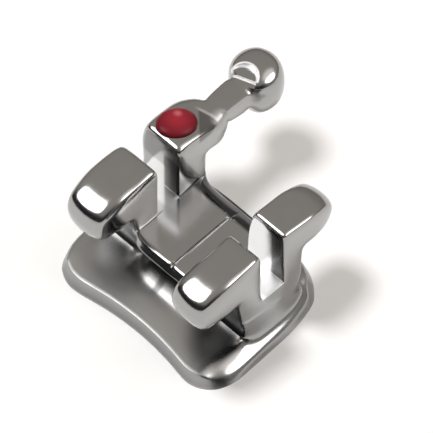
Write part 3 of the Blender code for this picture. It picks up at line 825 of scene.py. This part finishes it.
def makeDot():
    radius, dome = dotShape["length"] / 2, dotShape["dome"]
    profile = [(radius * dotShape["footShare"], dotShape["clearance"] - dotShape["dimpleDepth"])]
    profile.append((radius, -dotShape["skirt"]))
    for ring in range(1, dotShape["rings"]):
        angle = math.radians(90) * ring / dotShape["rings"]
        profile.append((radius * math.cos(angle) ** dotShape["fullness"], dome * math.sin(angle)))
    profile.append((0, dome))
    dot = addPiece("redDot", turned("redDot", profile, dotShape["sides"]))
    seatOnHookedWing(dot)
    return settled(dot)


# the steel's finish; places and fades are in millimetres, and a fade has a start and an end
steelLook = {
    "color": (0.375, 0.374, 0.374),
    "warmColor": (0.368, 0.364, 0.360),
    "warmFade": (0.35, 0.65),
    # the near-white colour of painted highlights
    "highlightColor": (0.92, 0.92, 0.93),
    "shadedShare": 0.12,
    "roughness": 0.125,
    "roughnessSpread": 0.05,
    "matteSpots": [((-1.13, 2.41, 2.3), 0.26), ((-1.08, 1.47, 2.55), 0.26), ((1.6, 0.05, 1.21), 0.4)],
    "matteRoughness": 0.3,
    "waveSize": 0.45,
    "waveHeight": 0.0006,
    "grainSize": 0.02,
    "grainHeight": 0.00025,
    "cavityReach": 1.15,
    "cavityFade": (0.22, 0.52),
    "cavityHeight": ((0.0, 0.06), (1.06, 1.12)),
}

padLook = {
    "roughness": 0.30,
    "top": (0.45, 0.75),
    "endRoughness": 0.14,
    "endX": (1.5, 1.8),
    "endY": (-1.85, -1.55),
}


def padFinish(graph, x, y, z):
    # what the pad adds to the roughness: it is duller than the wings, but for its bright plain end
    onEnd = graph.smooth(x, *padLook["endX"]) * graph.smooth(y, *padLook["endY"])
    finish = padLook["roughness"] + onEnd * (padLook["endRoughness"] - padLook["roughness"])
    return graph.below(z, *padLook["top"]) * (finish - steelLook["roughness"])


ledge = {
    "height": 0.846,
    "slope": -0.139,
    "step": 0.019,
    "rise": (-0.5, -0.06),
    "edge": (-0.055, 0.055),
    "face": (1.6, 1.7),
    "run": ((-0.95, -0.6), (0.05, 0.4)),
}


def castLedge(graph, x, y, z):
    # a low ledge on the plain end face
    above = z - y * ledge["slope"] - ledge["height"]
    raised = graph.within(above, ledge["rise"], ledge["edge"])
    return raised * graph.smooth(x, *ledge["face"]) * graph.within(y, *ledge["run"]) * ledge["step"]


rearShade = {
    "slope": 0.92,
    "rear": 0.93,
    "foot": 0.6,
    "slopeEnd": (1.0, 1.2),
    "betweenTwins": (0.985, 1.02),
    "rimWidth": (0.85, 1.7),
    "rimHeight": (0.05, 0.35),
    "aboveRim": (0.42, 0.52),
    "behindPanel": (0.58, 0.68),
    "top": (1.2, 1.55),
    "innerSide": (0.02, 0.05),
    "pastSlot": (0.285, 0.3),
    "footHeight": ((1.215, 1.235), (1.45, 1.95)),
}


def paintedRearShade(graph, x, y, z):
    # painted shade: darkens the slope behind the panel, the pad's rear rim, and the foot of the hooked
    # post's inner side
    zone = rearShade
    between = graph.below(abs(x), *zone["betweenTwins"])
    onRim = graph.below(abs(x), *zone["rimWidth"]) * graph.smooth(z, *zone["rimHeight"])
    across = onRim + (between - onRim) * graph.smooth(z, *zone["aboveRim"])
    depth = zone["slope"] + graph.smooth(y, *zone["slopeEnd"]) * (zone["rear"] - zone["slope"])
    hollow = across * graph.smooth(y, *zone["behindPanel"]) * graph.below(z, *zone["top"]) * depth
    foot = graph.below(abs(x + twinInner), *zone["innerSide"]) * graph.within(z, *zone["footHeight"])
    foot = foot * graph.within(y, zone["pastSlot"], zone["behindPanel"])
    return hollow + foot * zone["foot"]


slotShade = {
    "ends": 0.92,
    "upper": 0.45,
    "wall": ((0.22, 0.25), (0.285, 0.3)),
    "aboveFloor": (1.215, 1.235),
    "plainEnd": (1.40, 1.48),
    "hookedEnd": ((-1.40, -1.32), (-0.5, -0.4)),
    "hookedTop": (2.05, 2.35),
    "hookedTwin": (-1.0, -0.9),
    "upperHeight": (1.8, 1.95),
}


def paintedSlotWallShade(graph, x, y, z):
    # painted shade and painted dark reflection: darkens one end of each rear post's slot wall, and less the
    # upper half of the hooked twin's
    zone = slotShade
    onWall = graph.within(y, *zone["wall"]) * graph.smooth(z, *zone["aboveFloor"])
    ends = graph.within(x, *zone["hookedEnd"]) * graph.below(z, *zone["hookedTop"])
    ends = ends + graph.smooth(x, *zone["plainEnd"])
    upper = graph.below(x, *zone["hookedTwin"]) * graph.smooth(z, *zone["upperHeight"])
    return (ends * zone["ends"] + upper * zone["upper"]) * onWall


floorHighlightZone = {
    "height": ((1.19, 1.2), (1.215, 1.23)),
    "width": ((-0.29, -0.27), (0.27, 0.29)),
    "end": (1.1, 1.3),
}


def paintedFloorHighlight(graph, x, y, z):
    # 1 on the bright end of the slot floor in the plain twin, where a reflection is painted near white
    onFloor = graph.within(z, *floorHighlightZone["height"]) * graph.within(y, *floorHighlightZone["width"])
    return onFloor * graph.smooth(x, *floorHighlightZone["end"])


lipShade = {
    "recess": 0.85,
    "gap": 0.75,
    "betweenTwins": (0.985, 1.04),
    "recessHeight": ((0.5, 0.62), (1.04, 1.09)),
    "recessRear": (-0.5, -0.4),
    "gapMiddle": -0.2,
    "gapWidth": (0.03, 0.12),
    "filletEnd": ((-1.0, -0.9), (-0.62, -0.42)),
    "fillet": ((-1.3, -1.08), (-0.6, -0.4)),
    "filletTop": (0.5, 0.62),
}


def paintedLipShade(graph, x, y, z):
    # painted shade: darkens the recess under the lip, and paints a dark gap that parts the bright band on
    # the fillet below it
    zone = lipShade
    between = graph.below(abs(x), *zone["betweenTwins"])
    recess = graph.within(z, *zone["recessHeight"]) * graph.below(y, *zone["recessRear"])
    gap = graph.below(abs(x - zone["gapMiddle"]), *zone["gapWidth"]) + graph.within(x, *zone["filletEnd"])
    onFillet = graph.within(y, *zone["fillet"]) * graph.below(z, *zone["filletTop"])
    return between * (recess * zone["recess"] + gap * onFillet * zone["gap"])


clawShade = {
    "depth": 0.86,
    "middle": (1.42, -1.15),
    "reach": (0.25, 0.75),
    "padTop": (0.42, 0.55),
    "padShift": 0.11,
    "side": (1.62, 1.76),
    "top": (1.1, 1.4),
}


def clawShadow(graph, x, y, z):
    # darkens the pad and the post's foot under the plain twin's front claw
    zone = clawShade
    across, along = x - zone["middle"][0], y - zone["middle"][1]
    away = (across * across + along * along) ** 0.5
    onPad = graph.below(z, *zone["padTop"])
    low = graph.below(x - onPad * zone["padShift"], *zone["side"]) * graph.below(z, *zone["top"])
    return low * graph.below(away, *zone["reach"]) * zone["depth"]


# lengths are from the facet's rear corner, and turn is the cosine and sine of its angle to X
saddleLook = {
    "corner": (-0.624, 1.652),
    "turn": (0.962, 0.272),
    "shade": 0.5,
    "slant": 0.59,
    "start": (-0.467, -0.407),
    "end": (-0.02, 0.02),
    "rear": (-0.03, 0.0),
    "crest": 0.6,
    "crestShift": 0.02,
    "crestWidth": (0.01, 0.05),
    "crestRun": ((-0.567, -0.367), (-0.25, 0.0)),
    "depth": (-0.12, -0.06),
}


def saddle(graph, x, y, z):
    # painted shade that stands for a shallow facet between the dot and the neck, and a painted highlight
    # along its rear edge
    look = saddleLook
    cosine, sine = look["turn"]
    along = x * cosine + y * sine - look["corner"][0]
    across = y * cosine - x * sine - look["corner"][1]
    onTop = graph.smooth(z - shape["neckTop"], *look["depth"])
    facet = graph.smooth(along + across * look["slant"], *look["start"])
    facet = facet * graph.below(along, *look["end"]) * graph.below(across, *look["rear"])
    crest = graph.below(abs(across - look["crestShift"]), *look["crestWidth"])
    crest = crest * graph.within(along, *look["crestRun"])
    return facet * onTop * look["shade"], crest * onTop * look["crest"]


notchHighlight = {
    "roughness": 0.5,
    "arcWidth": (0.022, 0.047),
    "chordWidth": (0.0132, 0.0282),
    "behindChord": (-0.02, 0.0),
    "insideArc": (0.98, 1.05),
    "depth": (-0.06, -0.02),
}


def notchRim(graph, x, y, z):
    # 1 on the edge round the knob's D notch, where a highlight is painted: its arc and its straight side
    start, end = Vector(shape["notchStart"]), Vector(shape["notchEnd"])
    middle, half = (start + end) / 2, (end - start) / 2
    away = Vector((-half.y, half.x)).normalized()
    x, y = x - middle.x, y - middle.y
    along = (x * half.x + y * half.y) / half.length_squared
    across = x * away.x + y * away.y
    deep = across / shape["notchDepth"]
    radius = (along * along + deep * deep) ** 0.5
    arc = graph.below(abs((radius - 1) * shape["notchDepth"]), *notchHighlight["arcWidth"])
    arc = arc * graph.smooth(across, *notchHighlight["behindChord"])
    chord = graph.below(abs(across), *notchHighlight["chordWidth"]) * graph.below(radius, *notchHighlight["insideArc"])
    both = graph.node("ShaderNodeMath", {"operation": "MAXIMUM"}, {0: arc, 1: chord})
    return both * graph.smooth(z - shape["neckTop"], *notchHighlight["depth"])


def noise(graph, place, size):
    return graph.node("ShaderNodeTexNoise", None, {"Vector": place, "Scale": 1 / (size * mm), "Detail": 2})


def steelMaterial():
    steel = bpy.data.materials.new("sinteredSteel")
    graph = Graph(steel)
    look = steelLook
    place = graph.node("ShaderNodeTexCoord", output=3)
    at = [graph.node("ShaderNodeSeparateXYZ", None, {0: place}, axis) / mm for axis in range(3)]
    waves, grain = noise(graph, place, look["waveSize"]), noise(graph, place, look["grainSize"])
    facet, crest = saddle(graph, *at)
    rim = notchRim(graph, *at)

    # painted shade is the steel's colour times shadedShare, and painted highlights are near white
    shaded = (*[part * look["shadedShare"] for part in look["color"]], 1)
    paintedHighlight = (*look["highlightColor"], 1)
    # painted shade: darker where the ambient occlusion node finds the steel closed in, low on the bracket
    # under the slot floor's height
    reach = look["cavityReach"] * mm
    openness = graph.node("ShaderNodeAmbientOcclusion", {"samples": 8}, {"Distance": reach}, 1)
    paintedCavityShade = graph.smooth((1 - openness) * graph.within(at[2], *look["cavityHeight"]), *look["cavityFade"])
    color = graph.blend(graph.smooth(waves, *look["warmFade"]), (*look["color"], 1), (*look["warmColor"], 1))
    color = graph.blend(paintedCavityShade, color, shaded)
    # painted shade behind the panel, under the front claw, under the lip and on the slot walls
    for mask in (paintedRearShade, clawShadow, paintedLipShade, paintedSlotWallShade):
        color = graph.blend(mask(graph, *at), color, shaded)
    # a painted reflection on the plain twin's slot floor end
    color = graph.blend(paintedFloorHighlight(graph, *at), color, paintedHighlight)
    # painted shade on the facet behind the dot, and a painted highlight on its crest
    color = graph.blend(facet, color, shaded)
    color = graph.blend(crest, color, paintedHighlight)
    # a painted highlight round the knob's D notch
    color = graph.blend(rim, color, paintedHighlight)

    finish = look["roughness"] + waves * look["roughnessSpread"] + padFinish(graph, *at)
    for spot, width in look["matteSpots"]:
        away = graph.measure("DISTANCE", place, Vector(spot) * mm) / mm
        finish = finish + graph.below(away, width / 2, width) * look["matteRoughness"]
    finish = finish + rim * (notchHighlight["roughness"] - look["roughness"])

    height = waves * look["waveHeight"] + grain * look["grainHeight"] + castLedge(graph, *at)
    bump = graph.node("ShaderNodeBump", None, {"Strength": 1.0, "Distance": mm, "Height": height})
    shader = graph.node(
        "ShaderNodeBsdfPrincipled",
        None,
        {"Base Color": color, "Metallic": 1.0, "Roughness": finish, "Normal": bump},
    )
    graph.node("ShaderNodeOutputMaterial", None, {"Surface": shader})
    return steel


enamelLook = {
    "color": (0.155, 0.010, 0.017),
    "lightColor": (0.30, 0.022, 0.034),
    "lightFade": (0.1, 0.4),
    "glintColor": (0.50, 0.12, 0.14),
    "glintShift": (-0.10, 0.13),
    "glintFade": (0.0, 0.13),
    "roughness": 0.30,
    "ior": 1.45,
    "specular": 0.12,
}


def enamelMaterial():
    enamel = bpy.data.materials.new("redEnamel")
    graph = Graph(enamel)
    look = enamelLook
    middle = dotSeat()
    glint = middle + Vector((*look["glintShift"], dotShape["dome"])) * mm
    place = graph.node("ShaderNodeTexCoord", output=3)
    fromMiddle = graph.measure("DISTANCE", place, middle) / mm
    fromGlint = graph.measure("DISTANCE", place, glint) / mm
    # painted light: the dot's middle is lighter and its edge darker, and the glint is a painted highlight
    rest = graph.smooth(fromMiddle, *look["lightFade"])
    color = graph.blend(rest, (*look["lightColor"], 1), (*look["color"], 1))
    color = graph.blend(graph.smooth(fromGlint, *look["glintFade"]), (*look["glintColor"], 1), color)
    finish = {"Roughness": look["roughness"], "IOR": look["ior"], "Specular IOR Level": look["specular"]}
    shader = graph.node("ShaderNodeBsdfPrincipled", None, {"Base Color": color, **finish})
    graph.node("ShaderNodeOutputMaterial", None, {"Surface": shader})
    return enamel


# studio, in millimetres

studio = {
    "floorRadius": 110,
    "floorSides": 96,
    "floorColor": (0.93, 0.93, 0.93),
    "floorGlow": 0.10,
    "tentRadius": 125,
    "tentSides": (64, 32),
    "aimHeight": 1.2,
    "frontBox": {"direction": (-0.39, -0.46, 0.80), "size": (46, 56), "distance": 70, "radiance": 5.4},
    "sideBox": {"direction": (0.70, 0.40, 0.58), "size": (48, 46), "distance": 70, "radiance": 4.4},
    "keyLamp": {"direction": (-0.28, -0.14, 0.95), "size": (17, 17), "distance": 70, "radiance": 43},
    "tentBright": [
        (0.0, (0.30, 0.282, 0.26)),
        (0.25, (0.38, 0.356, 0.33)),
        (0.5, (0.50, 0.468, 0.43)),
        (1.0, (0.53, 0.495, 0.455)),
    ],
    "tentDark": [
        (0.0, (0.03, 0.03, 0.03)),
        (0.35, (0.03, 0.03, 0.03)),
        (0.55, (0.12, 0.115, 0.11)),
        (0.75, (0.42, 0.395, 0.365)),
        (1.0, (0.53, 0.495, 0.455)),
    ],
    "darkSide": (0.17, -0.98, 0.0),
    "darkFade": (-0.05, 0.35),
    "sideGlow": {"direction": (0.40, 0.41, 0.82), "inner": 0.985, "outer": 0.90, "color": (1.5, 1.43, 1.38)},
}


def seenRays(graph):
    # 1 for what the camera sees, straight on or by way of metal or glass
    camera, glossy, through = [graph.node("ShaderNodeLightPath", None, None, kind) for kind in (0, 3, 6)]
    return graph.node("ShaderNodeMath", {"operation": "MAXIMUM"}, {0: camera, 1: glossy + through})


def makeFloor():
    disc = bmesh.new()
    radius = studio["floorRadius"] * mm
    bmesh.ops.create_circle(disc, cap_ends=True, segments=studio["floorSides"], radius=radius)
    mesh = bpy.data.meshes.new("floor")
    disc.to_mesh(mesh)
    disc.free()
    floor = addPiece("floor", mesh)
    material = bpy.data.materials.new("floorPaper")
    graph = Graph(material)
    paper = graph.node("ShaderNodeBsdfDiffuse", None, {"Color": (*studio["floorColor"], 1)})
    strength = seenRays(graph) * studio["floorGlow"]
    glow = graph.node("ShaderNodeEmission", None, {"Color": (1, 1, 1, 1), "Strength": strength})
    both = graph.node("ShaderNodeAddShader", None, {0: paper, 1: glow})
    graph.node("ShaderNodeOutputMaterial", None, {"Surface": both})
    mesh.materials.append(material)


def makeTent():
    # a grey light tent round the set: a bright roof that falls off to dark walls
    ball = bmesh.new()
    radius = studio["tentRadius"] * mm
    around, up = studio["tentSides"]
    bmesh.ops.create_uvsphere(ball, u_segments=around, v_segments=up, radius=radius)
    mesh = bpy.data.meshes.new("lightTent")
    ball.to_mesh(mesh)
    ball.free()
    tent = addPiece("lightTent", mesh)
    material = bpy.data.materials.new("tentCloth")
    graph = Graph(material)
    place = graph.node("ShaderNodeNewGeometry")
    height = graph.node("ShaderNodeSeparateXYZ", None, {0: place}, 2) / radius
    bright, dark = [
        graph.node("ShaderNodeValToRGB", {"stops": studio[name], "interpolation": "EASE"}, {0: height})
        for name in ("tentBright", "tentDark")
    ]
    facing = graph.measure("DOT_PRODUCT", place, studio["darkSide"]) / radius
    cloth = graph.blend(graph.smooth(facing, *studio["darkFade"]), bright, dark)
    lit = studio["sideGlow"]
    toGlow = graph.measure("DOT_PRODUCT", place, lit["direction"]) / radius
    cloth = graph.blend(graph.smooth(toGlow, lit["outer"], lit["inner"]), cloth, (*lit["color"], 1))
    glow = graph.node("ShaderNodeEmission", None, {"Color": cloth, "Strength": 1.0})
    graph.node("ShaderNodeOutputMaterial", None, {"Surface": glow})
    mesh.materials.append(material)
    tent.visible_camera = False
    tent.visible_shadow = False


def addBox(name):
    # an elliptical lamp, turned to the bracket
    box = studio[name]
    width, depth = [length * mm for length in box["size"]]
    light = bpy.data.lights.new(name, "AREA")
    light.shape = "ELLIPSE"
    light.size, light.size_y = width, depth
    light.energy = box["radiance"] * math.pi * (math.pi / 4 * width * depth)
    lamp = bpy.data.objects.new(name, light)
    scene.collection.objects.link(lamp)
    away = Vector(box["direction"]).normalized()
    place = Vector((0, 0, studio["aimHeight"] * mm)) + away * box["distance"] * mm
    lamp.matrix_world = Matrix.Translation(place) @ away.to_track_quat("Z", "Y").to_matrix().to_4x4()
    lamp.visible_camera = False
    return lamp


def makeLights():
    # the soft boxes give the reflections, and the compact key gives the shadow
    addBox("frontBox").visible_diffuse = False
    addBox("sideBox").visible_diffuse = False
    addBox("keyLamp").visible_glossy = False


def makeWorld():
    world = bpy.data.worlds.new("whiteStudio")
    scene.world = world
    graph = Graph(world)
    white = graph.node("ShaderNodeBackground", None, {"Color": (1, 1, 1, 1), "Strength": 1.0})
    dark = graph.node("ShaderNodeBackground", None, {"Color": (0, 0, 0, 1), "Strength": 0.0})
    mixed = graph.node("ShaderNodeMixShader", None, {0: seenRays(graph), 1: dark, 2: white})
    graph.node("ShaderNodeOutputWorld", None, {"Surface": mixed})


# camera: parallel view

cameraView = {
    "right": (0.713, 0.701, 0.0),
    "up": (-0.583, 0.593, 0.555),
    "center": (-0.169, 0.457, 1.213),
    "width": 8.078,
    "distance": 60,
}


def makeCamera():
    camera = bpy.data.cameras.new("camera")
    camera.type = "ORTHO"
    camera.ortho_scale = cameraView["width"] * mm
    camera.clip_start = mm
    camera.clip_end = 1
    right = Vector(cameraView["right"]).normalized()
    up = Vector(cameraView["up"])
    back = right.cross(up).normalized()
    up = back.cross(right)
    view = bpy.data.objects.new("camera", camera)
    turn = Matrix((right, up, back)).transposed().to_4x4()
    place = Vector(cameraView["center"]) * mm + back * cameraView["distance"] * mm
    view.matrix_world = Matrix.Translation(place) @ turn
    scene.collection.objects.link(view)
    scene.camera = view


scene.view_settings.view_transform = "Standard"
makeCamera()
makeWorld()
makeFloor()
makeTent()
makeLights()
print("studio ready")

body = makeBody()
body.data.materials.clear()
body.data.materials.append(steelMaterial())
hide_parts("bracket_body")
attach(body, "root")
print("steel body ready,", len(body.data.polygons), "faces")

dot = makeDot()
dot.data.materials.append(enamelMaterial())
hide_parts("colour_dot")
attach(dot, "root")
print("enamel dot ready")
